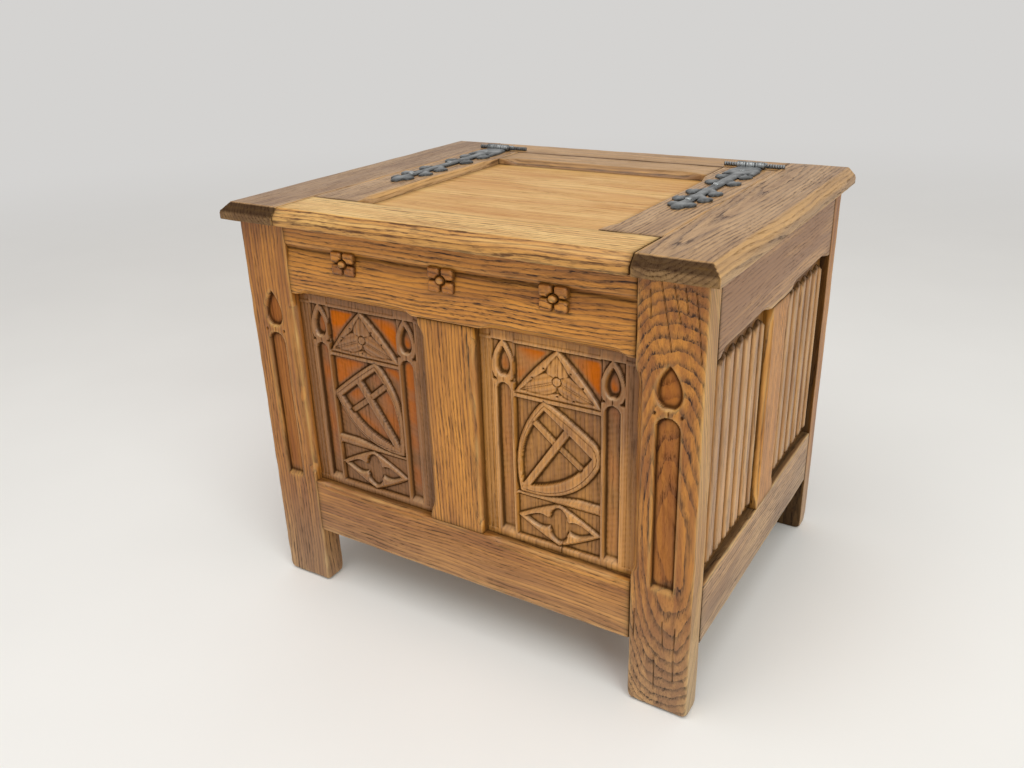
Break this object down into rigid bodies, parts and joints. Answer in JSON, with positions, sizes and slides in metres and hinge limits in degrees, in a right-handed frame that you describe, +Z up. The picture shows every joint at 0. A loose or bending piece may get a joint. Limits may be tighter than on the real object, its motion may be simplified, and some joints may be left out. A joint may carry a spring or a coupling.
{
  "type": "blanket chest",
  "caption": "Carved oak chest with tracery front panels, linenfold sides and a framed lid that lifts on strap hinges.",
  "frame": {"origin": "on the floor, under the middle of the top", "axes": "+X along the front to the right as seen from the front, +Y from front to back, +Z up"},
  "size_m": [0.618, 0.49, 0.5293],
  "materials": {
    "frame_oak": "golden brown waxed oak with dark open pores, worn lighter on its edges",
    "carved_oak": "darker carved oak with orange brown stain in the sunk grounds",
    "top_oak": "grey brown waxed oak with open grain",
    "lid_oak": "light golden waxed oak",
    "inner_oak": "plain unpolished oak",
    "black_iron": "dark grey blackened iron"
  },
  "bodies": {
    "carcass": {"back_bottom_rail": "frame_oak", "back_left_leg": "frame_oak", "back_left_panel": "inner_oak", "back_muntin": "frame_oak", "back_right_leg": "frame_oak", "back_right_panel": "inner_oak", "back_top_rail": "frame_oak", "floor_board_1": "inner_oak", "floor_board_2": "inner_oak", "floor_board_3": "inner_oak", "front_bottom_rail": "frame_oak", "front_left_leg": "frame_oak", "front_left_panel": "carved_oak", "front_muntin": "frame_oak", "front_right_leg": "frame_oak", "front_right_panel": "carved_oak", "front_top_rail": "frame_oak", "left_bottom_rail": "frame_oak", "left_floor_cleat": "inner_oak", "left_front_panel": "carved_oak", "left_hinge_pin": "black_iron", "left_hinge_plate": "black_iron", "left_muntin": "frame_oak", "left_plate_screw_1": "black_iron", "left_plate_screw_2": "black_iron", "left_rear_panel": "carved_oak", "left_top_rail": "frame_oak", "right_bottom_rail": "frame_oak", "right_floor_cleat": "inner_oak", "right_front_panel": "carved_oak", "right_hinge_pin": "black_iron", "right_hinge_plate": "black_iron", "right_muntin": "frame_oak", "right_plate_screw_1": "black_iron", "right_plate_screw_2": "black_iron", "right_rear_panel": "carved_oak", "right_top_rail": "frame_oak", "top_back_board": "top_oak", "top_left_end_board": "top_oak", "top_right_end_board": "top_oak"},
    "lid": {"left_hinge_strap": "black_iron", "left_strap_screw_1": "black_iron", "left_strap_screw_2": "black_iron", "left_strap_screw_3": "black_iron", "lid_back_rail": "top_oak", "lid_front_rail": "lid_oak", "lid_left_stile": "top_oak", "lid_panel": "lid_oak", "lid_right_stile": "top_oak", "right_hinge_strap": "black_iron", "right_strap_screw_1": "black_iron", "right_strap_screw_2": "black_iron", "right_strap_screw_3": "black_iron"}
  },
  "joints": [
    {"name": "lid_hinge", "type": "hinge", "parent": "carcass", "child": "lid", "pos_m": [0, 0.1864, 0.5248], "axis": [-1, 0, 0], "range_deg": [0, 105]}
  ]
}
